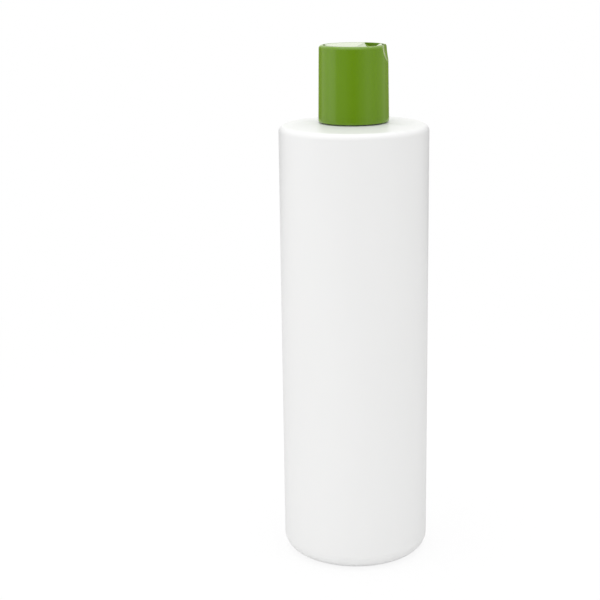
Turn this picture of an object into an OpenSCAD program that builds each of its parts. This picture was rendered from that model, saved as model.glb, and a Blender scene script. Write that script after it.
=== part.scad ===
// Disc-top bottle: a blown cylinder bottle, a screw cap and a disc that tilts to pour.
// Millimetres. +Z is up, and the origin is on the bottle's axis, on the surface it stands on.
// The disc pours towards -X and is pressed down at +X. It tilts about an axis along Y.

/* [Bottle] */
// Outside diameter of the body
body_d = 62; // [56:1:70]
// Height of the shoulder's outer edge
shoulder_h = 185; // [120:0.5:240]
// Thickness of the blown wall
wall = 1.1; // [0.8:0.1:1.5]
// Radius of the heel round the base
heel_r = 6.5; // [4:0.5:9]
// Radius of the corner between side and shoulder
shoulder_r = 2.6; // [1.8:0.1:4]
// Rise of the shoulder from its corner to the neck
shoulder_rise = 1.2; // [0.4:0.1:2]
// Width of the flat ring the bottle stands on
foot_w = 2.5; // [1.5:0.5:4]
// Height of the hollow under the base
push_up = 3.5; // [2:0.5:6]

/* [Neck and thread] */
// Diameter of the neck below its thread
neck_d = 21.9; // [21:0.1:24]
// Diameter of the opening through the neck
mouth_d = 18.6; // [16:0.1:19]
// Height of the neck above the shoulder's outer edge
neck_h = 19.2; // [17:0.1:24]
// Rise of the thread for one turn
pitch = 3.175; // [3:0.025:3.5]
// Height of the thread above the neck
thread_t = 0.95; // [0.7:0.05:1.1]
// Width of the thread where it meets the neck
thread_root_w = 2.0; // [1.6:0.1:2.1]
// Width of the thread at its crest
thread_crest_w = 0.8; // [0.5:0.1:1]
// Number of turns of thread on the neck
neck_turns = 1.5; // [1:0.25:2]
// Number of turns of thread in the cap
cap_turns = 1.75; // [1:0.25:2]
// Depth of the neck's first thread below its top edge
thread_drop = 3.2; // [2.8:0.1:4]
// Clearance between a thread's crest and the wall it faces
thread_gap = 0.35; // [0.3:0.05:0.5]

/* [Cap] */
// Thickness of the cap's skirt
skirt_t = 1.9; // [1.6:0.1:2.4]
// Gap between the skirt's lower edge and the top of the shoulder
skirt_gap = 0.3; // [0.3:0.1:1.5]
// How much further out the skirt's face stands at its lower edge than at the rim
skirt_flare = 0.4; // [0:0.1:0.6]
// Thickness of the sealing ring under the cap's deck
liner_t = 1.0; // [0.6:0.1:1.5]
// Thickness of the deck across the cap
deck_t = 1.3; // [1:0.1:2]
// Depth of the chamber above the deck
chamber_h = 10.9; // [10.5:0.1:13]
// Width of the rim round the disc
rim_w = 1.75; // [1.6:0.05:2.2]
// Radius of the rim's outer edge
rim_edge_r = 1.3; // [0.2:0.05:1.4]
// Radius of the skirt's lower edge
skirt_edge_r = 0.4; // [0.2:0.05:0.8]
// Depth of the thumb scallop below the rim
scallop_h = 6.8; // [5:0.1:8]
// How far the scallop reaches in from the skirt's face at the rim
scallop_t = 1.7; // [1.2:0.1:1.9]

/* [Disc] */
// Clearance between the disc and the chamber's wall
disc_gap = 0.3; // [0.25:0.05:0.5]
// Thickness of the disc
disc_t = 1.4; // [1.2:0.1:1.8]
// Depth of the tilt axis below the rim
pivot_drop = 3.2; // [3:0.1:3.6]
// Angle that the disc tilts to open
open_deg = 25; // [18:1:27]
// Diameter of the hinge pins
pin_d = 2.4; // [2:0.1:2.6]
// Depth of a hinge socket in the chamber's wall
socket_t = 1.0; // [0.7:0.1:1.2]
// Running clearance round a hinge pin
pin_gap = 0.06; // [0.03:0.01:0.1]
// Length of a hinge ear along the disc's edge
ear_w = 5.2; // [4:0.1:6]
// Width of the thumb groove across the disc
groove_w = 7.4; // [6:0.1:8]
// Depth of the thumb groove
groove_t = 1.4; // [1:0.1:1.6]
// Distance of the thumb groove from the tilt axis
groove_x = 6.5; // [6:0.1:7]

/* [Nozzle] */
// Width of the pouring window
window_w = 6.3; // [5:0.1:7]
// Height of the pouring window
window_h = 3.3; // [3:0.1:3.5]
// Thickness of the nozzle's side walls and floor
nozzle_t = 1.1; // [0.9:0.1:1.3]
// Distance of the spout from the tilt axis
spout_x = 5.6; // [5.3:0.1:6]
// Outside diameter of the spout on the deck
spout_d = 5.4; // [5:0.1:5.8]
// Diameter of the hole through the spout
spout_bore = 3.4; // [3:0.1:3.8]
// Clearance between the spout and the nozzle's floor
spout_gap = 0.3; // [0.25:0.05:0.4]

/* [Hidden] */
$fn = 96;
white = [0.93, 0.93, 0.92];
grey = [0.8, 0.8, 0.78];
green = [0.42, 0.58, 0.12];
lip = 0.01;

// Bottle
body_r = body_d / 2;
neck_r = neck_d / 2;
mouth_r = mouth_d / 2;
neck_top = shoulder_h + neck_h;
foot_r = body_r - heel_r;
hollow_r = foot_r - foot_w;
hollow_arc_r = (hollow_r * hollow_r + push_up * push_up) / (2 * push_up);
neck_fillet = 1.5;
lip_r = 0.4;

// Cap
thread_r = neck_r + thread_t;
bore_r = thread_r + thread_gap;
cap_r = bore_r + skirt_t;
cap_bottom = shoulder_h + shoulder_rise + skirt_gap;
deck_bottom = neck_top + liner_t;
deck_top = deck_bottom + deck_t;
rim_z = deck_top + chamber_h;
chamber_r = cap_r - rim_w;
lead_in = 0.6;
scallop_curve_r = 18;
scallop_plan_r = 60;
skirt_low_r = cap_r + skirt_flare;

// Threads lie on one helix, half a pitch apart
thread_steps = 40;
thread_start = 0.11;
thread_sink = 0.4;
thread_fade = 0.15;
neck_thread_z = neck_top - thread_drop - neck_turns * pitch;
cap_thread_t = cap_r - skirt_t - neck_r - thread_gap;
cap_thread_root_w = 1.6;
cap_thread_crest_w = 0.6;
cap_thread_z = neck_thread_z - pitch / 2;

// Sealing ring
ring_gap = 0.25;
ring_hole_r = mouth_r - 0.8;

// Disc, measured from the tilt axis
pivot_z = rim_z - pivot_drop;
ball_r = chamber_r - disc_gap;
plate_top = pivot_drop;
plate_bottom = plate_top - disc_t;
pin_r = pin_d / 2;
socket_r = pin_r + pin_gap;
pin_end = chamber_r + socket_t - 0.2;
ear_t = 1.8;
ear_bottom = -(pin_r + 1);
groove_r = (groove_w * groove_w / 4 + groove_t * groove_t) / (2 * groove_t);
groove_axis = plate_top - groove_t + groove_r;
window_bottom = plate_bottom - window_h;
nozzle_bottom = window_bottom - nozzle_t;
nozzle_w = window_w + 2 * nozzle_t;
spout_r = spout_d / 2;
spout_top = window_bottom + 0.9;
swing_room = -nozzle_bottom * sin(open_deg) - (spout_x - spout_r) * (1 - cos(open_deg));
channel_back = spout_x - spout_r - spout_gap - swing_room;
plug_r = spout_bore / 2 - 0.4;
plug_reach = 0.5;

// Stops on the deck that the pressed disc comes down to
stop_x = 8.6;
stop_w = 2.2;
stop_t = 1.2;
stop_y = 3.4;
stop_gap = 0.3;

// Part of a square outside its inscribed quarter circle, at the corner [x, z] that points along sx, sz
module outer_corner(x, z, r, sx, sz) {
  translate([x, z]) scale([sx, sz]) difference() {
    translate([-r, -r]) square(r + 1);
    translate([-r, -r]) circle(r);
    translate([-r - 1, -r]) square([1, r + 1]);
  }
}

// Outline of the body, shoulder and heel, shrunk by t
module body_outline(t) {
  corner_r = shoulder_r - t;
  difference() {
    union() {
      translate([0, t]) square([body_r - t, shoulder_h - 2 * t]);
      polygon([
        [0, shoulder_h - t - lip],
        [body_r - shoulder_r, shoulder_h - t - lip],
        [body_r - shoulder_r, shoulder_h - t],
        [neck_r + neck_fillet, shoulder_h - t + shoulder_rise],
        [0, shoulder_h - t + shoulder_rise]
      ]);
    }
    outer_corner(body_r - t, t, heel_r - t, 1, -1);
    outer_corner(body_r - t, shoulder_h - t, corner_r, 1, 1);
  }
}

// Spherical hollow under the base, grown by t
module base_hollow(t) {
  difference() {
    translate([0, push_up - hollow_arc_r]) circle(hollow_arc_r + t, $fn = 180);
    translate([-2 * hollow_arc_r, -2 * hollow_arc_r]) square([2 * hollow_arc_r, 4 * hollow_arc_r]);
    translate([0, -3 * hollow_arc_r]) square([2 * hollow_arc_r, 3 * hollow_arc_r - 1]);
  }
}

module neck_outline() {
  difference() {
    union() {
      square([neck_r, neck_top]);
      // Fillet where the shoulder turns up into the neck
      translate([neck_r, shoulder_h + shoulder_rise]) difference() {
        translate([-lip, -lip]) square(neck_fillet + lip);
        translate([neck_fillet, neck_fillet]) circle(neck_fillet);
      }
    }
    outer_corner(neck_r, neck_top, lip_r, 1, 1);
  }
}

module bottle_section() {
  difference() {
    union() {
      body_outline(0);
      neck_outline();
    }
    difference() {
      body_outline(wall);
      base_hollow(wall);
    }
    base_hollow(0);
    translate([0, shoulder_h / 2]) square([mouth_r, neck_h + shoulder_h]);
  }
}

// One cross-section of a thread, with its root at root_r and its crest at crest_r
function thread_ring(root_r, crest_r, root_w, crest_w, turns, start_z, i) =
  let(
    turn = i / thread_steps,
    edge = min(turn, turns - turn),
    grow = min(1, max(edge / thread_fade, 0.05)),
    tip_r = root_r + (crest_r - root_r) * grow,
    tip_w = crest_w * grow,
    z = start_z + turn * pitch,
    c = cos(360 * (turn + thread_start)),
    s = sin(360 * (turn + thread_start)),
    back_r = root_r - sign(crest_r - root_r) * thread_sink
  ) [
    [back_r * c, back_r * s, z - root_w / 2],
    [tip_r * c, tip_r * s, z - tip_w / 2],
    [tip_r * c, tip_r * s, z + tip_w / 2],
    [back_r * c, back_r * s, z + root_w / 2]
  ];

// Helical thread with run-outs at both ends. flip turns its faces for a thread that points inwards
module thread(root_r, crest_r, root_w, crest_w, turns, start_z, flip) {
  count = round(turns * thread_steps);
  rings = [
    for (i = [0 : count])
      each thread_ring(root_r, crest_r, root_w, crest_w, turns, start_z, i)
  ];
  sides = [
    for (i = [0 : count - 1], k = [0 : 3])
      let(a = 4 * i + k, b = 4 * i + (k + 1) % 4)
        flip ? [a, a + 4, b + 4, b] : [a, b, b + 4, a + 4]
  ];
  first = flip ? [0, 1, 2, 3] : [3, 2, 1, 0];
  last = [for (k = [0 : 3]) 4 * count + (flip ? 3 - k : k)];
  polyhedron(points = rings, faces = concat(sides, [first, last]), convexity = 6);
}

module bottle() {
  color(white) union() {
    rotate_extrude($fn = 180) bottle_section();
    thread(neck_r, thread_r, thread_root_w, thread_crest_w, neck_turns, neck_thread_z, false);
  }
}

module sealing_ring() {
  color(grey) translate([0, 0, neck_top]) difference() {
    cylinder(h = liner_t, r = bore_r - ring_gap);
    translate([0, 0, -1]) cylinder(h = liner_t + 2, r = ring_hole_r);
  }
}

module cap_section() {
  difference() {
    polygon([
      [0, cap_bottom],
      [skirt_low_r, cap_bottom],
      [skirt_low_r, cap_bottom + skirt_edge_r],
      [cap_r, rim_z - rim_edge_r],
      [cap_r, rim_z],
      [0, rim_z]
    ]);
    translate([-1, cap_bottom - 1]) square([bore_r + 1, deck_bottom - cap_bottom + 1]);
    translate([-1, deck_top]) square([chamber_r + 1, chamber_h + 1]);
    outer_corner(cap_r, rim_z, rim_edge_r, 1, 1);
    outer_corner(skirt_low_r, cap_bottom, skirt_edge_r, 1, -1);
    // Lead-in for the neck
    polygon([
      [bore_r - lip, cap_bottom - lip],
      [bore_r + lead_in, cap_bottom - lip],
      [bore_r - lip, cap_bottom + lead_in]
    ]);
  }
}

// Thumb scallop: a shallow hollow in the skirt's face below the rim
module scallop() {
  rise = scallop_h / 2;
  half_chord = sqrt(scallop_h * scallop_h + scallop_t * scallop_t) / 2;
  lean = atan(scallop_t / scallop_h);
  arc_back = sqrt(scallop_curve_r * scallop_curve_r - half_chord * half_chord);
  near_x = scallop_plan_r - scallop_t / 2 - arc_back * cos(lean);
  near_z = rim_z - rise + arc_back * sin(lean);
  translate([cap_r - scallop_t + scallop_plan_r, 0, 0])
    rotate_extrude($fn = 240) intersection() {
      translate([near_x, near_z]) circle(scallop_curve_r, $fn = 240);
      translate([scallop_plan_r / 2, rim_z - scallop_h - 1]) square([scallop_plan_r, scallop_h + 3]);
    }
}

// Height of the pressed disc's underside over x, less the groove's wall and a gap
function stop_top(x) = plate_bottom / cos(open_deg) - x * tan(open_deg) - groove_t - stop_gap;

// A stop rib on the deck, its top sloped to meet the pressed disc
module stop_rib(y) {
  base = deck_top - pivot_z - lip;
  translate([0, y + stop_t / 2, pivot_z]) rotate([90, 0, 0]) linear_extrude(stop_t)
    polygon([
      [stop_x, base],
      [stop_x + stop_w, base],
      [stop_x + stop_w, stop_top(stop_x + stop_w)],
      [stop_x, stop_top(stop_x)]
    ]);
}

module cap_body() {
  color(green) difference() {
    union() {
      rotate_extrude($fn = 180) cap_section();
      thread(bore_r, bore_r - cap_thread_t, cap_thread_root_w, cap_thread_crest_w,
        cap_turns, cap_thread_z, true);
      // Spout that the nozzle slides over
      translate([-spout_x, 0, deck_top - lip])
        cylinder(h = pivot_z + spout_top - deck_top + lip, r = spout_r);
      for (y = [-stop_y, stop_y]) stop_rib(y);
    }
    translate([-spout_x, 0, deck_bottom - 1])
      cylinder(h = rim_z - deck_bottom + 1, r = spout_bore / 2);
    // Hinge sockets
    translate([0, 0, pivot_z]) rotate([90, 0, 0])
      cylinder(h = 2 * (chamber_r + socket_t), r = socket_r, center = true);
    scallop();
  }
}

// A block measured from the tilt axis, from one low corner to one high corner
module block(low, high) {
  translate(low) cube(high - low);
}

// Everything of the disc inside the ball that turns in the chamber
module disc_blank() {
  intersection() {
    sphere(ball_r, $fn = 180);
    union() {
      block([-ball_r, -ball_r, plate_bottom], [ball_r, ball_r, plate_top]);
      // Wall under the thumb groove
      intersection() {
        translate([groove_x, 0, groove_axis]) rotate([90, 0, 0])
          cylinder(h = 2 * ball_r, r = groove_r + disc_t, center = true);
        block([0, -ball_r, plate_bottom - groove_t], [ball_r, ball_r, plate_top]);
      }
      // Nozzle box at the front
      block([-ball_r, -nozzle_w / 2, nozzle_bottom], [-channel_back + nozzle_t, nozzle_w / 2, plate_top]);
      // Hinge ears
      for (side = [-1, 1])
        block(
          [-ear_w / 2, side > 0 ? ball_r - ear_t : -ball_r, ear_bottom],
          [ear_w / 2, side > 0 ? ball_r : ear_t - ball_r, plate_top]
        );
    }
  }
}

module tilting_disc() {
  color(green) translate([0, 0, pivot_z]) union() {
    difference() {
      disc_blank();
      // Thumb groove
      translate([groove_x, 0, groove_axis]) rotate([90, 0, 0])
        cylinder(h = 3 * ball_r, r = groove_r, center = true);
      // Channel from the pouring window back over the spout
      block([-ball_r - 1, -window_w / 2, window_bottom], [-channel_back, window_w / 2, plate_bottom]);
      // Hole for the spout, longer at the back for the swing
      for (x = [0, swing_room / 2, swing_room])
        translate([x - spout_x, 0, nozzle_bottom - 1])
          cylinder(h = nozzle_t + 1 + lip, r = spout_r + spout_gap);
    }
    // Plug that closes the spout
    translate([-spout_x, 0, spout_top - plug_reach])
      cylinder(h = plate_bottom - spout_top + plug_reach + lip, r = plug_r);
    // Hinge pins
    for (side = [-1, 1])
      translate([0, side * (ball_r - ear_t + lip), 0]) rotate([-90 * side, 0, 0])
        cylinder(h = pin_end - ball_r + ear_t - lip, r = pin_r);
  }
}

bottle();
sealing_ring();
cap_body();
tilting_disc();
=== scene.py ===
import math

import bmesh
import bpy
from mathutils import Matrix, Vector


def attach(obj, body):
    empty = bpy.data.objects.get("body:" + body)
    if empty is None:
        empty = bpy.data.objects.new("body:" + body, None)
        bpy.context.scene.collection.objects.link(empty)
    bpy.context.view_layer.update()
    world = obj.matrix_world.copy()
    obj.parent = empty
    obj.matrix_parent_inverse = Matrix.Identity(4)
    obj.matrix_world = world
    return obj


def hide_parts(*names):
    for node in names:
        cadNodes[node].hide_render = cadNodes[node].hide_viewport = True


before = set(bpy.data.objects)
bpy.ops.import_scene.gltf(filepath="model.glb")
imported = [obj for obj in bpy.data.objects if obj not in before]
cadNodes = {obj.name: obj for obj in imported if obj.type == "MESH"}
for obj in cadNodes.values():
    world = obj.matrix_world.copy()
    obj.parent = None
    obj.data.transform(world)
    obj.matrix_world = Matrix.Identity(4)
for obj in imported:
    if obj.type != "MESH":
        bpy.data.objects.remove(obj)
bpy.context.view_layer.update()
mm = 0.001
doubles = 2e-7     # metres between points that are one and the same
slivers = 1e-7     # metres across a face that is nothing but a sliver


# Camera, at the photograph's viewing angle

cameraSet = {
    "azimuth": 9.0,        # degrees round from -Y, towards the thumb side
    "distance": 577.3,     # mm from the bottle's axis
    "height": 260.3,       # mm above the floor
    "pitch": 14.527,       # degrees down
    "yaw": -2.294,         # degrees to the right of the axis
    "roll": -0.82,
    "focalPixels": 1405.0,
    "framePixels": 600.0,
    "sensor": 36.0,
    "nearClip": 0.01,      # metres
}


def makeCamera(s):
    pitch, yaw, roll = (math.radians(s[k]) for k in ("pitch", "yaw", "roll"))
    level = math.cos(pitch)
    forward = Vector((math.sin(yaw) * level, math.cos(yaw) * level, -math.sin(pitch)))
    right = forward.cross(Vector((0, 0, 1))).normalized()
    up = right.cross(forward)
    rolledRight = right * math.cos(roll) + up * math.sin(roll)
    rolledUp = up * math.cos(roll) - right * math.sin(roll)
    turn = Matrix.Rotation(math.radians(s["azimuth"]), 4, "Z")
    axes = Matrix((rolledRight, rolledUp, -forward)).transposed().to_4x4()
    place = Matrix.Translation(Vector((0, -s["distance"], s["height"])) * mm)
    data = bpy.data.cameras.new("photoCamera")
    data.sensor_width = s["sensor"]
    data.lens = s["focalPixels"] * s["sensor"] / s["framePixels"]
    data.clip_start = s["nearClip"]
    camera = bpy.data.objects.new("photoCamera", data)
    bpy.context.scene.collection.objects.link(camera)
    camera.matrix_world = turn @ place @ axes
    bpy.context.scene.camera = camera


makeCamera(cameraSet)
print("camera made")


# Small helpers for node trees and meshes

def calc(tree, operation, *values):
    # One Math node, whose inputs are numbers or other nodes' outputs
    node = tree.nodes.new("ShaderNodeMath")
    node.operation = operation
    for socket, value in zip(node.inputs, values):
        feed(tree, socket, value)
    return node.outputs[0]


def feed(tree, socket, value):
    if isinstance(value, bpy.types.NodeSocket):
        tree.links.new(value, socket)
    else:
        socket.default_value = value


def addNode(tree, kind, settings=None, inputs=None):
    node = tree.nodes.new(kind)
    for name, value in (settings or {}).items():
        setattr(node, name, value)
    for name, value in (inputs or {}).items():
        feed(tree, node.inputs[name], value)
    return node


def newGeometryTree(name, sizes):
    # sizes maps each named input to its starting value; whole numbers make integer inputs
    tree = bpy.data.node_groups.new(name, "GeometryNodeTree")
    tree.interface.new_socket("Geometry", in_out="INPUT", socket_type="NodeSocketGeometry")
    for label, value in sizes.items():
        if isinstance(value, int):
            kind = "NodeSocketInt"
        else:
            kind = "NodeSocketFloat"
        tree.interface.new_socket(label, in_out="INPUT", socket_type=kind).default_value = value
    tree.interface.new_socket("Material", in_out="INPUT", socket_type="NodeSocketMaterial")
    tree.interface.new_socket("Geometry", in_out="OUTPUT", socket_type="NodeSocketGeometry")
    return tree, addNode(tree, "NodeGroupInput")


def endTree(tree, given, geometry):
    # Every tree ends in real geometry with its own material
    smooth = addNode(tree, "GeometryNodeSetShadeSmooth", inputs={"Geometry": geometry})
    real = addNode(tree, "GeometryNodeRealizeInstances", inputs={"Geometry": smooth.outputs[0]})
    paint = addNode(tree, "GeometryNodeSetMaterial", inputs={
        "Geometry": real.outputs[0], "Material": given.outputs["Material"]})
    out = addNode(tree, "NodeGroupOutput")
    tree.links.new(paint.outputs[0], out.inputs[0])


def addTree(obj, tree, values, material):
    modifier = obj.modifiers.new(tree.name, "NODES")
    modifier.node_group = tree
    for item in tree.interface.items_tree:
        if item.in_out == "INPUT" and item.name in values:
            modifier[item.identifier] = values[item.name]
        if item.in_out == "INPUT" and item.name == "Material":
            modifier[item.identifier] = material


def addObject(name, mesh):
    # A finished piece sits at the origin, with its place in its mesh
    obj = bpy.data.objects.new(name, mesh)
    bpy.context.scene.collection.objects.link(obj)
    return obj


def bake(obj):
    # The modifiers' result becomes a plain mesh
    bpy.context.view_layer.update()
    graph = bpy.context.evaluated_depsgraph_get()
    evaluated = obj.evaluated_get(graph)
    mesh = bpy.data.meshes.new_from_object(evaluated, preserve_all_data_layers=True, depsgraph=graph)
    mesh.name = obj.name
    obj.modifiers.clear()
    obj.data = mesh
    return obj


def cleanShell(obj):
    # Doubles merged and every face turned outwards
    shell = bmesh.new()
    shell.from_mesh(obj.data)
    bmesh.ops.remove_doubles(shell, verts=shell.verts, dist=doubles)
    bmesh.ops.dissolve_degenerate(shell, edges=shell.edges, dist=slivers)
    bmesh.ops.recalc_face_normals(shell, faces=shell.faces)
    shell.to_mesh(obj.data)
    shell.free()
    return obj


def evenNormals(obj):
    # Large faces keep their own direction and the small rounded edges blend between them
    weighted = obj.modifiers.new("evenNormals", "WEIGHTED_NORMAL")
    weighted.mode = "FACE_AREA"
    weighted.keep_sharp = False
    return bake(obj)


# A section of corners [radius, height, corner radius] in mm, drawn as a line of points

def drawSection(name, corners, rows=()):
    mesh = bpy.data.meshes.new(name)
    points = []
    rounding = []
    for k, (x, z, corner) in enumerate(corners):
        points.append((x * mm, 0, z * mm))
        rounding.append(corner * mm)
        for first, steps in rows:
            if first == k:
                nextX, nextZ, _ = corners[k + 1]
                for i in range(1, steps):
                    share = i / steps
                    points.append(((x + (nextX - x) * share) * mm, 0, (z + (nextZ - z) * share) * mm))
                    rounding.append(0.0)
    mesh.from_pydata(points, [(i, i + 1) for i in range(len(points) - 1)], [])
    mesh.attributes.new("corner", "FLOAT", "POINT").data.foreach_set("value", rounding)
    return addObject(name, mesh)


def roundSection(tree, given):
    # The drawn line with its corners rounded, and how many points it then has
    line = addNode(tree, "GeometryNodeMeshToCurve", inputs={"Mesh": given.outputs["Geometry"]})
    corner = addNode(tree, "GeometryNodeInputNamedAttribute", {"data_type": "FLOAT"}, {"Name": "corner"})
    rounded = addNode(tree, "GeometryNodeFilletCurve", {"mode": "POLY"}, {
        "Curve": line.outputs[0], "Count": given.outputs["Corner Steps"],
        "Radius": corner.outputs[0], "Limit Radius": True}).outputs[0]
    size = addNode(tree, "GeometryNodeAttributeDomainSize", {"component": "CURVE"}, {"Geometry": rounded})
    return rounded, size.outputs["Point Count"]


def addSheet(tree, rows, steps):
    # A flat grid to be wrapped into a shape, with each point's row and its step along the row
    around = calc(tree, "ADD", steps, 1)
    grid = addNode(tree, "GeometryNodeMeshGrid", inputs={"Vertices X": rows, "Vertices Y": around})
    index = addNode(tree, "GeometryNodeInputIndex").outputs[0]
    row = calc(tree, "FLOOR", calc(tree, "DIVIDE", calc(tree, "ADD", index, 0.5), around))
    step = calc(tree, "SUBTRACT", index, calc(tree, "MULTIPLY", row, around))
    return grid.outputs[0], row, step


def readLine(tree, line, kind, row):
    # The line's position or direction at the point that each row follows
    value = addNode(tree, kind).outputs[0]
    sample = addNode(tree, "GeometryNodeSampleIndex", {"data_type": "FLOAT_VECTOR", "domain": "POINT"}, {
        "Geometry": line, "Value": value, "Index": row})
    return addNode(tree, "ShaderNodeSeparateXYZ", inputs={"Vector": sample.outputs[0]}).outputs


def turnAbout(tree, radius, angle):
    x = calc(tree, "MULTIPLY", radius, calc(tree, "COSINE", angle))
    y = calc(tree, "MULTIPLY", radius, calc(tree, "SINE", angle))
    return x, y


def wrapSheet(tree, given, sheet, x, y, z):
    # Moves the sheet's points into place and joins its seams and poles
    place = addNode(tree, "ShaderNodeCombineXYZ", inputs={"X": x, "Y": y, "Z": z})
    placed = addNode(tree, "GeometryNodeSetPosition", inputs={
        "Geometry": sheet, "Position": place.outputs[0]})
    merged = addNode(tree, "GeometryNodeMergeByDistance", inputs={
        "Geometry": placed.outputs[0], "Distance": doubles})
    endTree(tree, given, merged.outputs[0])


def makeLatheTree():
    # Rounds the section's corners, then turns it about the vertical axis
    tree, given = newGeometryTree("turnSection", {"Segments": 128, "Corner Steps": 5})
    rounded, count = roundSection(tree, given)
    sheet, row, step = addSheet(tree, count, given.outputs["Segments"])
    angle = calc(tree, "MULTIPLY", calc(tree, "DIVIDE", step, given.outputs["Segments"]), math.tau)
    place = readLine(tree, rounded, "GeometryNodeInputPosition", row)
    x, y = turnAbout(tree, place[0], angle)
    wrapSheet(tree, given, sheet, x, y, place[2])
    return tree


def makeThreadTree():
    # A ridge that climbs round a neck or a bore and runs out into it at both ends
    tree, given = newGeometryTree("windThread", {
        "Steps": 120, "Across": 12, "Root Radius": 0.011, "Crest Radius": 0.012, "Root Width": 0.002,
        "Crest Width": 0.0008, "Turns": 1.5, "Pitch": 0.003, "Start Height": 0.2, "Start Turn": 0.0,
        "Sink": 0.0003, "Fade": 0.15})
    size = given.outputs
    sheet, row, step = addSheet(tree, calc(tree, "ADD", size["Steps"], 1), size["Across"])
    turn = calc(tree, "MULTIPLY", calc(tree, "DIVIDE", row, size["Steps"]), size["Turns"])
    toEnd = calc(tree, "MINIMUM", turn, calc(tree, "SUBTRACT", size["Turns"], turn))
    grow = calc(tree, "MINIMUM", calc(tree, "DIVIDE", toEnd, size["Fade"]), 1.0)
    # The last point across closes the loop on the first
    last = calc(tree, "SUBTRACT", size["Across"], 1)
    notLast = calc(tree, "LESS_THAN", step, calc(tree, "ADD", last, 0.5))
    share = calc(tree, "DIVIDE", calc(tree, "MULTIPLY", step, notLast), last)
    fromMiddle = calc(tree, "ABSOLUTE", calc(tree, "SUBTRACT", share, 0.5))
    slope = calc(tree, "SUBTRACT", size["Root Width"], size["Crest Width"])
    twoWidths = calc(tree, "MULTIPLY", size["Root Width"], 2.0)
    inset = calc(tree, "MULTIPLY", calc(tree, "SUBTRACT", 0.5, fromMiddle), twoWidths)
    rise = calc(tree, "MINIMUM", calc(tree, "DIVIDE", inset, slope), 1.0)
    roundness = 0.5
    roundRise = calc(tree, "SMOOTH_MIN", rise, 1.0, roundness)
    # Its two lower edges, where the rise is nothing, lie sunk in the wall
    steepness = 40.0
    clear = calc(tree, "MINIMUM", calc(tree, "MULTIPLY", rise, steepness), 1.0)
    sinkBy = calc(tree, "MULTIPLY", calc(tree, "SUBTRACT", 1.0, clear), size["Sink"])
    depth = calc(tree, "SUBTRACT", size["Crest Radius"], size["Root Radius"])
    outward = calc(tree, "SIGN", depth)
    height = calc(tree, "MULTIPLY", depth, calc(tree, "MULTIPLY", roundRise, grow))
    sunk = calc(tree, "ADD", sinkBy, calc(tree, "MULTIPLY", calc(tree, "SUBTRACT", 1.0, grow), size["Sink"]))
    standing = calc(tree, "ADD", size["Root Radius"], height)
    radius = calc(tree, "SUBTRACT", standing, calc(tree, "MULTIPLY", sunk, outward))
    fromAxis = calc(tree, "MULTIPLY", calc(tree, "SUBTRACT", share, 0.5), size["Root Width"])
    offset = calc(tree, "MULTIPLY", fromAxis, grow)
    angle = calc(tree, "MULTIPLY", calc(tree, "ADD", turn, size["Start Turn"]), math.tau)
    climb = calc(tree, "ADD", size["Start Height"], calc(tree, "MULTIPLY", turn, size["Pitch"]))
    x, y = turnAbout(tree, radius, angle)
    wrapSheet(tree, given, sheet, x, y, calc(tree, "ADD", climb, offset))
    return tree


def makeRidgeTree():
    # A low ridge of lens-shaped section laid along a drawn line, closed to a point at both ends
    tree, given = newGeometryTree("layRidge", {
        "Across": 12, "Corner Steps": 14, "Width": 0.0005, "Height": 0.00005, "Sink": 0.0001, "Angle": 0.0})
    size = given.outputs
    rounded, count = roundSection(tree, given)
    sheet, row, step = addSheet(tree, count, size["Across"])
    # The first and the last row each close to a point
    pastFirst = calc(tree, "GREATER_THAN", row, 0.5)
    beforeLast = calc(tree, "LESS_THAN", row, calc(tree, "SUBTRACT", count, 1.5))
    between = calc(tree, "MULTIPLY", pastFirst, beforeLast)
    turn = calc(tree, "MULTIPLY", calc(tree, "DIVIDE", step, size["Across"]), math.tau)
    halfWidth = calc(tree, "MULTIPLY", size["Width"], 0.5)
    across = calc(tree, "MULTIPLY", calc(tree, "MULTIPLY", calc(tree, "COSINE", turn), halfWidth), between)
    wave = calc(tree, "SINE", turn)
    above = calc(tree, "MULTIPLY", calc(tree, "MAXIMUM", wave, 0.0), size["Height"])
    below = calc(tree, "MULTIPLY", calc(tree, "MINIMUM", wave, 0.0), size["Sink"])
    lift = calc(tree, "MULTIPLY", calc(tree, "ADD", above, below), between)
    place = readLine(tree, rounded, "GeometryNodeInputPosition", row)
    along = readLine(tree, rounded, "GeometryNodeInputTangent", row)
    reach = calc(tree, "ADD", place[0], calc(tree, "MULTIPLY", along[2], lift))
    height = calc(tree, "SUBTRACT", place[2], calc(tree, "MULTIPLY", along[0], lift))
    reachX, reachY = turnAbout(tree, reach, size["Angle"])
    acrossY, acrossX = turnAbout(tree, across, size["Angle"])
    x = calc(tree, "SUBTRACT", reachX, acrossX)
    y = calc(tree, "ADD", reachY, acrossY)
    wrapSheet(tree, given, sheet, x, y, height)
    return tree


latheTree = makeLatheTree()
threadTree = makeThreadTree()
ridgeTree = makeRidgeTree()
print("node trees made")


# Materials

grainSpan = (0.3, 0.7)     # the values between which nearly all of a noise lies


def newMaterial(name):
    material = bpy.data.materials.new(name)
    material.use_nodes = True
    tree = material.node_tree
    return material, tree, tree.nodes["Principled BSDF"]


def newPlastic(name, s):
    material, tree, shader = newMaterial(name)
    shader.inputs["IOR"].default_value = s["ior"]
    shader.inputs["Specular IOR Level"].default_value = s["shine"]
    place = addNode(tree, "ShaderNodeTexCoord").outputs["Object"]
    stretched = addNode(tree, "ShaderNodeMapping", inputs={
        "Vector": place, "Scale": (1, 1, s["stretch"])}).outputs[0]
    return material, tree, shader, place, stretched


def addNoise(tree, place, scale, detail, distortion=0.0):
    return addNode(tree, "ShaderNodeTexNoise", inputs={
        "Vector": place, "Scale": scale, "Detail": detail, "Distortion": distortion}).outputs[0]


def addBump(tree, height, strength, depth):
    return addNode(tree, "ShaderNodeBump", inputs={
        "Height": height, "Strength": strength, "Distance": depth})


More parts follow.
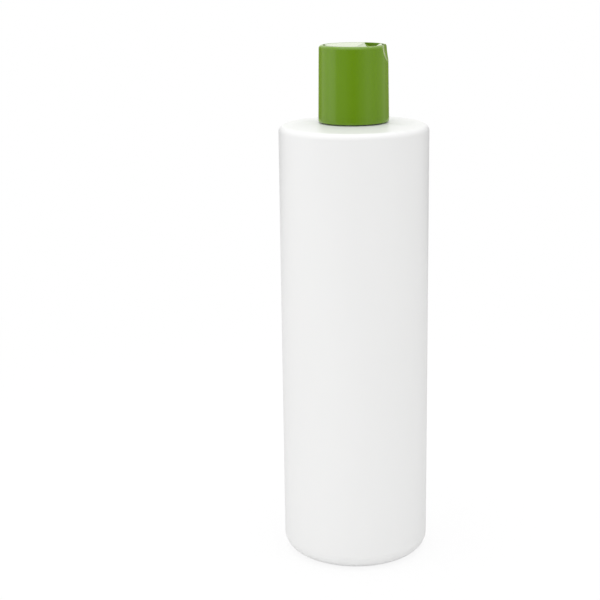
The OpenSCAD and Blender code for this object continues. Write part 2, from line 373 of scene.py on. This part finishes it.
def paintTone(tree, shader, share, first, second):
    # The color drifts between two near tones
    tone = addNode(tree, "ShaderNodeMix", {"data_type": "RGBA"}, {"Factor": share})
    tone.inputs["A"].default_value = first
    tone.inputs["B"].default_value = second
    tree.links.new(tone.outputs["Result"], shader.inputs["Base Color"])


def paintRoughness(tree, shader, grain, span):
    gloss = addNode(tree, "ShaderNodeMapRange", inputs={
        "Value": grain, "From Min": grainSpan[0], "From Max": grainSpan[1],
        "To Min": span[0], "To Max": span[1]})
    tree.links.new(gloss.outputs[0], shader.inputs["Roughness"])


def makeBottlePlastic(s):
    # Satin blown polyethylene, with the faint unevenness of a blown wall
    material, tree, shader, place, stretched = newPlastic("satinWhitePlastic", s)
    waves = addNoise(tree, stretched, s["waveScale"], s["waveDetail"])
    grain = addNoise(tree, place, s["grainScale"], s["grainDetail"])
    paintTone(tree, shader, waves, s["paleColor"], s["deepColor"])
    paintRoughness(tree, shader, grain, s["roughness"])
    wavy = addBump(tree, waves, s["waveStrength"], s["waveDepth"])
    fine = addBump(tree, grain, s["grainStrength"], s["grainDepth"])
    tree.links.new(wavy.outputs[0], fine.inputs["Normal"])
    tree.links.new(fine.outputs[0], shader.inputs["Normal"])
    return material


def makeCapPlastic(name, s):
    # Moulded polypropylene with faint flow marks, under a coat where it is polished
    material, tree, shader, place, stretched = newPlastic(name, s)
    shader.inputs["Coat Weight"].default_value = s["polish"]
    shader.inputs["Coat Roughness"].default_value = s["polishRoughness"]
    shader.inputs["Sheen Weight"].default_value = s["bloom"]
    shader.inputs["Sheen Roughness"].default_value = s["bloomRoughness"]
    shader.inputs["Sheen Tint"].default_value = s["bloomTint"]
    marks = addNoise(tree, stretched, s["flowScale"], s["flowDetail"], s["flowDistortion"])
    grain = addNoise(tree, place, s["grainScale"], s["grainDetail"])
    paintTone(tree, shader, marks, s["paleColor"], s["deepColor"])
    paintRoughness(tree, shader, grain, s["roughness"])
    fine = addBump(tree, grain, s["grainStrength"], s["grainDepth"])
    tree.links.new(fine.outputs[0], shader.inputs["Normal"])
    return material


def makeFoam(s):
    # Foamed polyethylene, with small closed cells on its faces, each cell's pit painted darker as painted
    # shade
    material, tree, shader = newMaterial("ringFoam")
    place = addNode(tree, "ShaderNodeTexCoord").outputs["Object"]
    cells = addNode(tree, "ShaderNodeTexVoronoi", {"feature": "SMOOTH_F1"}, {
        "Vector": place, "Scale": s["cellScale"]}).outputs["Distance"]
    # Darkest at each cell's centre, where the bump sinks: painted shade in the pits
    paintTone(tree, shader, cells, s["deepColor"], s["paleColor"])
    shader.inputs["Roughness"].default_value = s["roughness"]
    pits = addBump(tree, cells, s["cellStrength"], s["cellDepth"])
    tree.links.new(pits.outputs[0], shader.inputs["Normal"])
    return material


bottlePlastic = makeBottlePlastic({
    "paleColor": (0.835, 0.835, 0.83, 1),
    "deepColor": (0.815, 0.815, 0.812, 1),
    "roughness": (0.33, 0.40),
    "ior": 1.5,
    "shine": 0.5,
    "stretch": 0.25,         # the blown wall's waves run up the bottle
    "waveScale": 45.0,
    "waveDetail": 2.0,
    "waveStrength": 0.25,
    "waveDepth": 0.00025,
    "grainScale": 2600.0,
    "grainDetail": 3.0,
    "grainStrength": 0.2,
    "grainDepth": 0.00002,
})
capFinish = {
    "paleColor": (0.129, 0.256, 0.0030, 1),
    "deepColor": (0.119, 0.241, 0.0020, 1),
    "roughness": (0.15, 0.19),
    "ior": 1.5,
    "shine": 0.5,
    "polish": 0.0,
    "polishRoughness": 0.12,
    "bloom": 0.25,           # soft glow that the pigment gives at a slant
    "bloomRoughness": 0.5,
    "bloomTint": (0.62, 0.80, 0.08, 1),
    "stretch": 0.5,
    "flowScale": 140.0,
    "flowDetail": 3.0,
    "flowDistortion": 0.6,
    "grainScale": 3500.0,
    "grainDetail": 4.0,
    "grainStrength": 0.15,
    "grainDepth": 0.000012,
}
capPlastic = makeCapPlastic("greenCapPlastic", capFinish)
discPlastic = makeCapPlastic("polishedGreenPlastic", {**capFinish, "roughness": (0.16, 0.22), "polish": 1.0})
foam = makeFoam({
    "paleColor": (0.80, 0.80, 0.78, 1),
    # the painted shade at the bottom of each cell's pit
    "deepColor": (0.62, 0.62, 0.60, 1),
    "roughness": 0.75,
    "cellScale": 2200.0,
    "cellStrength": 0.5,
    "cellDepth": 0.00006,
})
print("materials made")


# Bottle: one blown shell, open at the mouth

bottleSet = {
    "bodyR": 31.0, "shoulderH": 185.0, "shoulderRise": 1.2, "shoulderR": 2.6, "wall": 1.1,
    "heelR": 6.5, "footW": 2.5, "footEdgeR": 0.4, "pushUp": 3.5, "hollowSteps": 20,
    "neckR": 10.95, "neckFillet": 1.5, "neckFoot": 0.15, "neckFootR": 0.1, "neckTop": 204.2,
    "lipR": 0.4, "mouthR": 9.3, "mouthEdgeR": 0.2,
    "innerRise": 1.26, "innerEdgeR": 0.3, "floorStep": 0.6,
    "segments": 224, "cornerSteps": 14,
}
neckThreadSet = {
    "rootR": 10.95, "crestR": 11.9, "rootW": 2.0, "crestW": 0.8,
    "turns": 1.5, "pitch": 3.175, "startHeight": 196.2375, "startTurn": 0.11, "sink": 0.3, "steps": 180,
}
seamSet = {
    "angle": -9.0,         # degrees from +X, the plane where the mould's halves meet
    "heelStart": 20, "heelStep": 5,
    "seamWidth": 0.6, "seamHeight": 0.03, "seamSink": 0.1,
    "pinchWidth": 1.3, "pinchHeight": 0.25, "pinchSink": 0.15, "pinchHalf": 17.0, "pinchSteps": 24,
}


def hollowHeight(s, x, rise):
    # Height of the hollow under the base at radius x, or of the floor rise above it
    footR = s["bodyR"] - s["heelR"] - s["footW"]
    arcR = (footR * footR + s["pushUp"] * s["pushUp"]) / (2 * s["pushUp"])
    return s["pushUp"] - arcR + math.sqrt((arcR + rise) ** 2 - x * x)


def hollowLine(s, reach, rise):
    # The hollow's arc, from the axis outwards
    steps = s["hollowSteps"]
    return [(reach * k / steps, hollowHeight(s, reach * k / steps, rise), 0.0) for k in range(steps + 1)]


def outerCorners(s):
    # From the middle of the base up to the foot of the neck
    hollowR = s["bodyR"] - s["heelR"] - s["footW"]
    shoulderTop = s["shoulderH"] + s["shoulderRise"]
    return hollowLine(s, hollowR, 0)[:-1] + [
        (hollowR, 0.0, s["footEdgeR"]),
        (s["bodyR"], 0.0, s["heelR"]),
        (s["bodyR"], s["shoulderH"], s["shoulderR"]),
        (s["neckR"] + s["neckFoot"], shoulderTop, s["neckFillet"]),
        (s["neckR"], shoulderTop + s["neckFoot"], s["neckFootR"]),
    ]


def innerCorners(s):
    # Over the lip and down inside to the middle of the floor
    innerR = s["bodyR"] - s["wall"]
    innerTop = s["shoulderH"] - s["wall"]
    floorR = innerR - (s["heelR"] - s["wall"])
    floorLine = hollowLine(s, floorR - 2 * s["floorStep"], s["wall"])
    return [
        (s["neckR"], s["neckTop"], s["lipR"]),
        (s["mouthR"], s["neckTop"], s["mouthEdgeR"]),
        (s["mouthR"], innerTop + s["innerRise"], s["innerEdgeR"]),
        (innerR, innerTop, s["shoulderR"] - s["wall"]),
        (innerR, s["wall"], s["heelR"] - s["wall"]),
        (floorR - s["floorStep"], s["wall"], s["innerEdgeR"]),
    ] + floorLine[::-1]


def turnPiece(name, corners, s, material):
    section = drawSection(name, corners)
    addTree(section, latheTree, {"Segments": s["segments"], "Corner Steps": s["cornerSteps"]}, material)
    return cleanShell(bake(section))


def windPiece(name, s, material):
    start = addObject(name, bpy.data.meshes.new(name))
    addTree(start, threadTree, {
        "Steps": s["steps"], "Turns": s["turns"], "Start Turn": s["startTurn"],
        "Root Radius": s["rootR"] * mm, "Crest Radius": s["crestR"] * mm,
        "Root Width": s["rootW"] * mm, "Crest Width": s["crestW"] * mm,
        "Pitch": s["pitch"] * mm, "Start Height": s["startHeight"] * mm, "Sink": s["sink"] * mm,
    }, material)
    return cleanShell(bake(start))


def seamCorners(s, start, step):
    # The wall's line from the heel to the foot of the neck
    corners = []
    for degrees in range(start, 90 + 1, step):
        turn = math.radians(degrees)
        x = s["bodyR"] - s["heelR"] * (1 - math.sin(turn))
        z = s["heelR"] * (1 - math.cos(turn))
        corners.append((x, z, 0.0))
    corners.append((s["bodyR"], s["shoulderH"], s["shoulderR"]))
    corners.append((s["neckR"] + s["neckFoot"], s["shoulderH"] + s["shoulderRise"], 0.0))
    return corners


def layPiece(name, corners, kind, angle, s):
    line = drawSection(name, corners)
    addTree(line, ridgeTree, {
        "Width": s[kind + "Width"] * mm, "Height": s[kind + "Height"] * mm, "Sink": s[kind + "Sink"] * mm,
        "Angle": math.radians(angle)}, bottlePlastic)
    return cleanShell(bake(line))


def makeSeams(s, bottleSizes):
    # The mould's parting line up both sides, and the pinched weld across the base
    wall = seamCorners(bottleSizes, s["heelStart"], s["heelStep"])
    base = []
    for k in range(s["pinchSteps"] + 1):
        x = s["pinchHalf"] * (2 * k / s["pinchSteps"] - 1)
        base.append((x, hollowHeight(bottleSizes, x, 0), 0.0))
    return [
        layPiece("seamRight", wall, "seam", s["angle"], s),
        layPiece("seamLeft", wall, "seam", s["angle"] + 180, s),
        layPiece("pinchWeld", base, "pinch", s["angle"], s),
    ]


def makeBottle(s, threadSizes, seamSizes):
    corners = outerCorners(s) + innerCorners(s)
    shell = evenNormals(turnPiece("bottleShell", corners, s, bottlePlastic))
    thread = windPiece("neckThread", threadSizes, bottlePlastic)
    for piece in [shell, thread] + makeSeams(seamSizes, s):
        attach(piece, "bottle")
    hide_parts("bottle")


makeBottle(bottleSet, neckThreadSet, seamSet)
print("bottle made")


# Sealing ring

ringSet = {
    "outerR": 12.0, "holeR": 8.5, "low": 204.2, "high": 205.2, "edgeR": 0.15,
    "segments": 128, "cornerSteps": 4,
}


def makeRing(s):
    middle = (s["low"] + s["high"]) / 2
    corners = [
        (s["holeR"], middle, 0.0),
        (s["holeR"], s["low"], s["edgeR"]), (s["outerR"], s["low"], s["edgeR"]),
        (s["outerR"], s["high"], s["edgeR"]), (s["holeR"], s["high"], s["edgeR"]),
        (s["holeR"], middle, 0.0),
    ]
    ring = evenNormals(turnPiece("foamRing", corners, s, foam))
    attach(ring, "ring")
    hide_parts("sealing_ring")


makeRing(ringSet)
print("ring made")


# Cap: skirt, deck, chamber, spout, stops and the thumb scallop

capSet = {
    "capR": 14.15, "flare": 0.4, "boreR": 12.25, "chamberR": 12.4,
    "bottom": 186.5, "deckLow": 205.2, "deckHigh": 206.5, "rim": 217.4,
    "rimEdgeR": 1.3, "rimEdgeGap": 0.02, "skirtEdgeR": 0.4, "innerEdgeR": 0.15, "rootR": 0.35,
    "leadIn": 0.6, "leadInR": 0.1,
    "scallopH": 6.8, "scallopT": 1.7, "scallopCurveR": 18.0, "scallopPlanR": 60.0, "scallopSoft": 0.35,
    "rowsReach": 1.15,     # how far down the walls have close rows, in scallop heights
    "outerRows": 52, "innerRows": 24,
    "socketR": 1.26, "socketReach": 13.4, "pivot": 214.2,
    "segments": 480, "cornerSteps": 10,
}
spoutSet = {
    "x": -5.6, "outerR": 2.7, "boreR": 1.7, "top": 213.6, "edgeR": 0.2,
    "sink": 0.1, "footOut": 0.3, "footUp": 0.35, "footR": 0.2, "holeBelow": 2.0, "holeAbove": 0.6,
    "segments": 64, "cornerSteps": 4,
}
stopSet = {
    "x": 8.6, "w": 2.2, "y": 3.4, "t": 1.2, "nearTop": 210.47, "farTop": 209.45,
    "sink": 0.1, "edgeR": 0.15, "edgeSteps": 3,
}
capThreadSet = {
    "rootR": 12.25, "crestR": 11.3, "rootW": 1.6, "crestW": 0.6,
    "turns": 1.75, "pitch": 3.175, "startHeight": 194.65, "startTurn": 0.11, "sink": 0.3, "steps": 200,
}


def square(tree, value):
    return calc(tree, "MULTIPLY", value, value)


def safeRoot(tree, value):
    return calc(tree, "SQRT", calc(tree, "MAXIMUM", value, 0.0))


def makeScallopTree():
    # Draws every point in to the thumb hollow's surface, with a soft edge where the two meet
    tree, given = newGeometryTree("pressScallop", {
        "Cap Radius": 0.014, "Reach": 0.0017, "Height": 0.0068, "Rim Height": 0.217,
        "Curve Radius": 0.018, "Plan Radius": 0.06, "Soft Edge": 0.0003})
    size = given.outputs
    reach, height, curve = size["Reach"], size["Height"], size["Curve Radius"]
    # Centre of the hollow's upright curve, seen from the centre of its curve in plan
    chord = calc(tree, "SQRT", calc(tree, "ADD", square(tree, height), square(tree, reach)))
    half = calc(tree, "MULTIPLY", chord, 0.5)
    lean = calc(tree, "ARCTAN2", reach, height)
    arcBack = calc(tree, "SQRT", calc(tree, "SUBTRACT", square(tree, curve), square(tree, half)))
    middleX = calc(tree, "SUBTRACT", size["Plan Radius"], calc(tree, "MULTIPLY", reach, 0.5))
    middleZ = calc(tree, "SUBTRACT", size["Rim Height"], calc(tree, "MULTIPLY", height, 0.5))
    nearX = calc(tree, "SUBTRACT", middleX, calc(tree, "MULTIPLY", arcBack, calc(tree, "COSINE", lean)))
    nearZ = calc(tree, "ADD", middleZ, calc(tree, "MULTIPLY", arcBack, calc(tree, "SINE", lean)))
    axisX = calc(tree, "ADD", calc(tree, "SUBTRACT", size["Cap Radius"], reach), size["Plan Radius"])
    # How far each point stands from the cap's axis, and the hollow's surface in the same direction
    place = addNode(tree, "GeometryNodeInputPosition").outputs[0]
    parts = addNode(tree, "ShaderNodeSeparateXYZ", inputs={"Vector": place}).outputs
    fromAxis = calc(tree, "SQRT", calc(tree, "ADD", square(tree, parts[0]), square(tree, parts[1])))
    leastRadius = 1e-6
    radius = calc(tree, "MAXIMUM", fromAxis, leastRadius)
    up = calc(tree, "SUBTRACT", parts[2], nearZ)
    inside = calc(tree, "SUBTRACT", square(tree, curve), square(tree, up))
    surface = calc(tree, "ADD", nearX, safeRoot(tree, inside))
    along = calc(tree, "MULTIPLY", axisX, calc(tree, "DIVIDE", parts[0], radius))
    across = calc(tree, "MULTIPLY", axisX, calc(tree, "DIVIDE", parts[1], radius))
    under = calc(tree, "SUBTRACT", square(tree, surface), square(tree, across))
    wall = calc(tree, "SUBTRACT", along, safeRoot(tree, under))
    pressed = calc(tree, "SMOOTH_MIN", radius, wall, size["Soft Edge"])
    scale = calc(tree, "DIVIDE", pressed, radius)
    moved = addNode(tree, "ShaderNodeCombineXYZ", inputs={
        "X": calc(tree, "MULTIPLY", parts[0], scale),
        "Y": calc(tree, "MULTIPLY", parts[1], scale),
        "Z": parts[2]})
    # Only points on the thumb side and near the rim move
    sideShare = 0.3
    sideFrom = calc(tree, "MULTIPLY", size["Cap Radius"], sideShare)
    front = calc(tree, "GREATER_THAN", parts[0], sideFrom)
    depthShare = 1.3
    lowest = calc(tree, "SUBTRACT", size["Rim Height"], calc(tree, "MULTIPLY", height, depthShare))
    high = calc(tree, "GREATER_THAN", parts[2], lowest)
    inReach = calc(tree, "MULTIPLY", front, calc(tree, "GREATER_THAN", under, 0.0))
    placed = addNode(tree, "GeometryNodeSetPosition", inputs={
        "Geometry": given.outputs["Geometry"], "Selection": calc(tree, "MULTIPLY", inReach, high),
        "Position": moved.outputs[0]})
    endTree(tree, given, placed.outputs[0])
    return tree


def capCorners(s):
    rowsFrom = s["rim"] - s["scallopH"] * s["rowsReach"]
    lowR = s["capR"] + s["flare"]
    middleR = s["capR"] + s["flare"] * (s["rim"] - rowsFrom) / (s["rim"] - s["bottom"])
    return [
        (0.0, s["deckLow"], 0.0),
        (s["boreR"], s["deckLow"], s["rootR"]),
        (s["boreR"], s["bottom"] + s["leadIn"], s["leadInR"]),
        (s["boreR"] + s["leadIn"], s["bottom"], s["leadInR"]),
        (lowR, s["bottom"], s["skirtEdgeR"]),
        (middleR, rowsFrom, 0.0),
        (s["capR"], s["rim"] - s["rimEdgeR"] - s["rimEdgeGap"], 0.0),
        (s["capR"], s["rim"], s["rimEdgeR"]),
        (s["chamberR"], s["rim"], s["innerEdgeR"]),
        (s["chamberR"], rowsFrom, 0.0),
        (s["chamberR"], s["deckHigh"], s["rootR"]),
        (0.0, s["deckHigh"], 0.0),
    ]


cutterSteps = 64


def rodMesh(name, radius, low, high):
    # A cutter from one end point to the other, in mm
    low, high = Vector(low), Vector(high)
    turn = (high - low).to_track_quat("Z", "Y").to_matrix().to_4x4()
    rod = bmesh.new()
    bmesh.ops.create_cone(
        rod, cap_ends=True, segments=cutterSteps, radius1=radius * mm, radius2=radius * mm,
        depth=(high - low).length * mm, matrix=Matrix.Translation((low + high) / 2 * mm) @ turn)
    mesh = bpy.data.meshes.new(name)
    rod.to_mesh(mesh)
    rod.free()
    return addObject(name, mesh)


def cutWith(obj, cutter):
    cut = obj.modifiers.new("cut", "BOOLEAN")
    cut.operation = "DIFFERENCE"
    cut.solver = "EXACT"
    cut.object = cutter
    bake(obj)
    bpy.data.objects.remove(cutter)


def makeSpout(s, base):
    middle = (base + s["top"]) / 2
    low = base - s["sink"]
    corners = [
        (s["boreR"], middle, 0.0),
        (s["boreR"], low, 0.0),
        (s["outerR"] + s["footOut"], low, 0.0),
        (s["outerR"], base + s["footUp"], s["footR"]),
        (s["outerR"], s["top"], s["edgeR"]),
        (s["boreR"], s["top"], s["edgeR"]),
        (s["boreR"], middle, 0.0),
    ]
    spout = turnPiece("spout", corners, s, capPlastic)
    spout.data.transform(Matrix.Translation((s["x"] * mm, 0, 0)))
    return evenNormals(spout)


def makeStop(s, side, base):
    # A rib whose sloped top meets the pressed disc
    low = base - s["sink"]
    near, far = s["x"], s["x"] + s["w"]
    points = []
    for y in (s["y"] * side - s["t"] / 2, s["y"] * side + s["t"] / 2):
        points += [(near, y, low), (far, y, low), (far, y, s["farTop"]), (near, y, s["nearTop"])]
    faces = [(0, 1, 2, 3), (7, 6, 5, 4), (0, 4, 5, 1), (1, 5, 6, 2), (2, 6, 7, 3), (3, 7, 4, 0)]
    mesh = bpy.data.meshes.new("stop")
    mesh.from_pydata([[c * mm for c in p] for p in points], [], faces)
    mesh.materials.append(capPlastic)
    stop = addObject("stop", mesh)
    bevel = stop.modifiers.new("softEdge", "BEVEL")
    bevel.width = s["edgeR"] * mm
    bevel.segments = s["edgeSteps"]
    bake(stop)
    stop.data.shade_smooth()
    return evenNormals(cleanShell(stop))


def makeCap(s, spoutSizes, stopSizes, threadSizes):
    # The corners from which the wall is pressed, outside and inside
    outerWall, innerWall = 5, 8
    rows = ((outerWall, s["outerRows"]), (innerWall, s["innerRows"]))
    shell = drawSection("capShell", capCorners(s), rows)
    addTree(shell, latheTree, {"Segments": s["segments"], "Corner Steps": s["cornerSteps"]}, capPlastic)
    addTree(shell, makeScallopTree(), {
        "Cap Radius": s["capR"] * mm, "Rim Height": s["rim"] * mm,
        "Reach": s["scallopT"] * mm, "Height": s["scallopH"] * mm,
        "Curve Radius": s["scallopCurveR"] * mm, "Plan Radius": s["scallopPlanR"] * mm,
        "Soft Edge": s["scallopSoft"] * mm}, capPlastic)
    cleanShell(bake(shell))
    reach, pivot = s["socketReach"], s["pivot"]
    cutWith(shell, rodMesh("sockets", s["socketR"], (0, -reach, pivot), (0, reach, pivot)))
    holeLow = (spoutSizes["x"], 0, s["deckLow"] - spoutSizes["holeBelow"])
    holeHigh = (spoutSizes["x"], 0, s["deckHigh"] + spoutSizes["holeAbove"])
    cutWith(shell, rodMesh("spoutHole", spoutSizes["boreR"], holeLow, holeHigh))
    evenNormals(shell)
    pieces = [shell, makeSpout(spoutSizes, s["deckHigh"]), windPiece("capThread", threadSizes, capPlastic)]
    pieces += [makeStop(stopSizes, side, s["deckHigh"]) for side in (-1, 1)]
    for piece in pieces:
        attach(piece, "cap")
    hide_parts("cap_body")


makeCap(capSet, spoutSet, stopSet, capThreadSet)
print("cap made")


# Disc, from the CAD solid with its edges softened

discEdgeSet = {
    "joinWithin": 1e-6,    # metres between points that become one
    "flatAngle": 0.6,      # degrees between faces that become one
    "sharpAngle": 28.0,    # degrees between faces whose edge is softened
    "width": 0.14,
    "segments": 2,
}


def makeDisc(s):
    disc = addObject("discPlate", cadNodes["tilting_disc"].data.copy())
    disc.data.materials.clear()
    disc.data.materials.append(discPlastic)
    solid = bmesh.new()
    solid.from_mesh(disc.data)
    bmesh.ops.remove_doubles(solid, verts=solid.verts, dist=s["joinWithin"])
    bmesh.ops.dissolve_limit(
        solid, angle_limit=math.radians(s["flatAngle"]), verts=solid.verts, edges=solid.edges)
    bmesh.ops.recalc_face_normals(solid, faces=solid.faces)
    solid.to_mesh(disc.data)
    solid.free()
    bevel = disc.modifiers.new("softEdge", "BEVEL")
    bevel.limit_method = "ANGLE"
    bevel.angle_limit = math.radians(s["sharpAngle"])
    bevel.width = s["width"] * mm
    bevel.segments = s["segments"]
    bake(disc)
    disc.data.shade_smooth()
    evenNormals(disc)
    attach(disc, "disc")
    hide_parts("tilting_disc")


makeDisc(discEdgeSet)
print("disc made")


# Studio

studioSet = {
    "floorSize": 1.2,
    "floorColor": (0.93, 0.93, 0.93, 1),
    "floorGlow": (0.86, 1.0),      # share shown as plain white, beside the bottle and far from it
    "floorFade": (0.08, 0.45),     # metres from the bottle over which the share grows
    "floorInGloss": 0.6,           # how bright the plastic mirrors that white, which darkens its edges
    "turn": 9.0,                   # the light is set out from the photograph's side
    # Brightness round the horizon from behind the bottle, left, camera side, right and round again
    "glossRing": (
        (0.0, 1.0), (0.025, 1.0), (0.06, 0.1), (0.12, 0.12), (0.17, 0.7), (0.225, 0.76), (0.31, 0.6),
        (0.34, 0.33), (0.42, 0.24), (0.455, 0.1), (0.5, 0.0), (0.535, 0.08), (0.56, 0.24),
        (0.635, 0.57), (0.70, 0.42), (0.76, 0.48), (0.83, 0.62), (0.87, 0.25), (0.94, 0.1),
        (0.975, 1.0), (1.0, 1.0)),
    "softRing": (
        (0.0, 0.64), (0.12, 0.74), (0.25, 1.06), (0.40, 1.12), (0.5, 1.09), (0.62, 1.01),
        (0.75, 0.75), (0.88, 0.54), (1.0, 0.64)),
    "softLight": 0.93,
    # Height of a ray's direction over which each ring gives way to plain white
    "glossCeiling": (0.1, 0.45),
    "softCeiling": (0.35, 0.75),
}


def mixShaders(tree, share, first, second):
    inputs = {0: share, 1: first.outputs[0], 2: second.outputs[0]}
    return addNode(tree, "ShaderNodeMixShader", inputs=inputs)


def makeFloor(s):
    half = s["floorSize"] / 2
    points = [(-half, -half, 0), (half, -half, 0), (half, half, 0), (-half, half, 0)]
    mesh = bpy.data.meshes.new("floor")
    mesh.from_pydata(points, [], [(0, 1, 2, 3)])
    floor = addObject("floor", mesh)
    material = bpy.data.materials.new("paleFloor")
    material.use_nodes = True
    tree = material.node_tree
    tree.nodes.clear()
    place = addNode(tree, "ShaderNodeTexCoord").outputs["Object"]
    reach = addNode(tree, "ShaderNodeVectorMath", {"operation": "LENGTH"}, {0: place})
    share = addNode(tree, "ShaderNodeMapRange", {"interpolation_type": "SMOOTHSTEP"}, {
        "Value": reach.outputs["Value"], "From Min": s["floorFade"][0], "From Max": s["floorFade"][1],
        "To Min": s["floorGlow"][0], "To Max": s["floorGlow"][1]})
    path = addNode(tree, "ShaderNodeLightPath").outputs
    mirrored = path["Is Glossy Ray"]
    direct = calc(tree, "MAXIMUM", path["Is Camera Ray"], mirrored)
    seen = calc(tree, "MAXIMUM", direct, path["Is Transmission Ray"])
    diffuse = addNode(tree, "ShaderNodeBsdfDiffuse", inputs={"Color": s["floorColor"]})
    dimmed = calc(tree, "MULTIPLY", mirrored, 1.0 - s["floorInGloss"])
    glow = addNode(tree, "ShaderNodeEmission", inputs={"Strength": calc(tree, "SUBTRACT", 1.0, dimmed)})
    mix = mixShaders(tree, calc(tree, "MULTIPLY", seen, share.outputs[0]), diffuse, glow)
    addNode(tree, "ShaderNodeOutputMaterial", inputs={"Surface": mix.outputs[0]})
    mesh.materials.append(material)


def addRing(tree, position, height, ceiling, stops):
    # A soft band of brightness round the horizon, under a plain white ceiling
    ring = tree.nodes.new("ShaderNodeValToRGB")
    ring.color_ramp.interpolation = "EASE"
    points = ring.color_ramp.elements
    while len(points) < len(stops):
        points.new(0.5)
    for point, (where, level) in zip(points, stops):
        point.position = where
        point.color = (level, level, level, 1)
    tree.links.new(position, ring.inputs[0])
    overhead = addNode(tree, "ShaderNodeMapRange", {"interpolation_type": "SMOOTHSTEP"}, {
        "Value": height, "From Min": ceiling[0], "From Max": ceiling[1]}).outputs[0]
    dome = addNode(tree, "ShaderNodeMix", {"data_type": "RGBA"}, {"Factor": overhead})
    tree.links.new(ring.outputs["Color"], dome.inputs["A"])
    dome.inputs["B"].default_value = (1, 1, 1, 1)
    return dome.outputs["Result"]


def makeWorld(s):
    world = bpy.data.worlds.new("studio")
    bpy.context.scene.world = world
    world.use_nodes = True
    tree = world.node_tree
    tree.nodes.clear()
    direction = addNode(tree, "ShaderNodeTexCoord").outputs["Generated"]
    turned = addNode(tree, "ShaderNodeMapping", inputs={
        "Vector": direction, "Rotation": (0, 0, -math.radians(s["turn"]))})
    parts = addNode(tree, "ShaderNodeSeparateXYZ", inputs={"Vector": turned.outputs[0]}).outputs
    around = calc(tree, "ARCTAN2", parts[0], calc(tree, "MULTIPLY", parts[1], -1.0))
    position = calc(tree, "ADD", calc(tree, "DIVIDE", around, math.tau), 0.5)
    glossColor = addRing(tree, position, parts[2], s["glossCeiling"], s["glossRing"])
    softColor = addRing(tree, position, parts[2], s["softCeiling"], s["softRing"])
    path = addNode(tree, "ShaderNodeLightPath").outputs
    plain = addNode(tree, "ShaderNodeBackground", inputs={"Color": (1, 1, 1, 1)})
    gloss = addNode(tree, "ShaderNodeBackground", inputs={"Color": glossColor})
    soft = addNode(tree, "ShaderNodeBackground", inputs={"Color": softColor, "Strength": s["softLight"]})
    reflected = mixShaders(tree, path["Is Glossy Ray"], soft, gloss)
    straight = calc(tree, "MAXIMUM", path["Is Camera Ray"], path["Is Transmission Ray"])
    mix = mixShaders(tree, straight, reflected, plain)
    addNode(tree, "ShaderNodeOutputWorld", inputs={"Surface": mix.outputs[0]})


# Places, targets and sizes in metres, power in watts
lightSets = {
    "leftSoftbox": {
        "place": (-0.95, -0.45, 0.45), "target": (0, 0, 0.11), "size": (0.6, 1.0), "power": 0.6},
    "topSoftbox": {
        "place": (0.0, 0.0, 0.95), "target": (0, 0, 0.2), "size": (0.9, 0.9), "power": 3.0},
}


def makeAreaLight(name, s):
    data = bpy.data.lights.new(name, "AREA")
    data.shape = "RECTANGLE"
    data.size, data.size_y = s["size"]
    data.energy = s["power"]
    light = bpy.data.objects.new(name, data)
    bpy.context.scene.collection.objects.link(light)
    light.location = s["place"]
    facing = Vector(s["target"]) - Vector(s["place"])
    light.rotation_euler = facing.to_track_quat("-Z", "Y").to_euler()


makeFloor(studioSet)
makeWorld(studioSet)
for lightName, lightSizes in lightSets.items():
    makeAreaLight(lightName, lightSizes)
print("studio made")

bpy.context.scene.view_settings.view_transform = "Standard"
